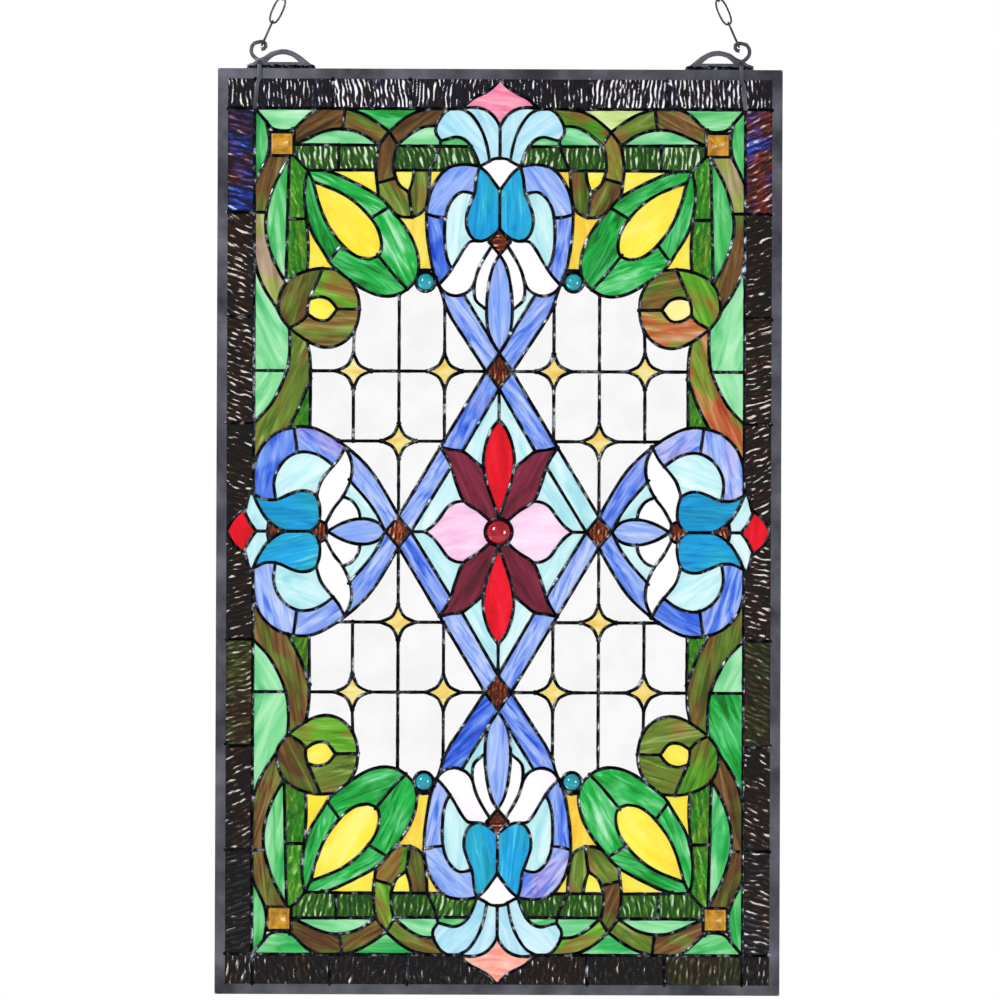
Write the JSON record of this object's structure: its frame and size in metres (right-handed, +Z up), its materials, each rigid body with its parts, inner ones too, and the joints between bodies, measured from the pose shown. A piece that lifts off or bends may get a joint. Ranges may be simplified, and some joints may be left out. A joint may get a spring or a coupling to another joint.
{
  "type": "stained glass window",
  "caption": "Hanging rectangular stained glass panel: leaded coloured glass with fleurs, leaves and a centre flower in a zinc channel frame, on two hook hangers with chain.",
  "frame": {"origin": "inside top of the ring that gathers the chain, where a ceiling hook carries the panel", "axes": "+X along the panel's width to the right seen from the front, +Y out of the back, -Y out of the front, +Z up"},
  "size_m": [0.496, 0.0127, 1.3169],
  "materials": {
    "zinc": "patinated zinc",
    "solder": "black patina on solder",
    "chain_steel": "blackened steel",
    "ripple_black_glass": "rippled",
    "clear_glass": "seedy clear",
    "yellow_glass": "wispy",
    "green_glass": "streaky",
    "vine_glass": "streaky",
    "maroon_glass": "cathedral",
    "red_glass": "cathedral",
    "pink_glass": "opalescent",
    "blue_glass": "opalescent streaky",
    "pale_glass": "opalescent",
    "amber_glass": "pressed",
    "turquoise_glass": "gem"
  },
  "bodies": {
    "root": {"border_bottom_left": "ripple_black_glass", "border_bottom_right": "ripple_black_glass", "border_top_left": "ripple_black_glass", "border_top_right": "ripple_black_glass", "centre_ground_bottom": "pale_glass", "centre_ground_left": "pale_glass", "centre_ground_right": "pale_glass", "centre_ground_top": "pale_glass", "centre_nugget": "red_glass", "chain_left": "chain_steel", "chain_right": "chain_steel", "clear_field_bottom_left": "clear_glass", "clear_field_bottom_right": "clear_glass", "clear_field_top_left": "clear_glass", "clear_field_top_right": "clear_glass", "fleur_bottom": "blue_glass", "fleur_left": "blue_glass", "fleur_right": "blue_glass", "fleur_top": "blue_glass", "foliage_bottom_left": "vine_glass", "foliage_bottom_right": "vine_glass", "foliage_top_left": "vine_glass", "foliage_top_right": "vine_glass", "frame_bottom": "zinc", "frame_left": "zinc", "frame_right": "zinc", "frame_top": "zinc", "hanger_left": "zinc", "hanger_right": "zinc", "jewel_bottom_left": "amber_glass", "jewel_bottom_right": "amber_glass", "jewel_top_left": "amber_glass", "jewel_top_right": "amber_glass", "kite_bottom": "pink_glass", "kite_left": "red_glass", "kite_right": "red_glass", "kite_top": "pink_glass", "leading": "solder", "leaf_bottom_left": "green_glass", "leaf_bottom_right": "green_glass", "leaf_heart_bottom_left": "yellow_glass", "leaf_heart_bottom_right": "yellow_glass", "leaf_heart_top_left": "yellow_glass", "leaf_heart_top_right": "yellow_glass", "leaf_top_left": "green_glass", "leaf_top_right": "green_glass", "maroon_petal_bottom_left": "maroon_glass", "maroon_petal_bottom_right": "maroon_glass", "maroon_petal_top_left": "maroon_glass", "maroon_petal_top_right": "maroon_glass", "nugget_bottom_left": "turquoise_glass", "nugget_bottom_right": "turquoise_glass", "nugget_top_left": "turquoise_glass", "nugget_top_right": "turquoise_glass", "pink_petal_left": "pink_glass", "pink_petal_right": "pink_glass", "red_petal_bottom": "red_glass", "red_petal_top": "red_glass", "ring": "chain_steel"}
  },
  "joints": []
}
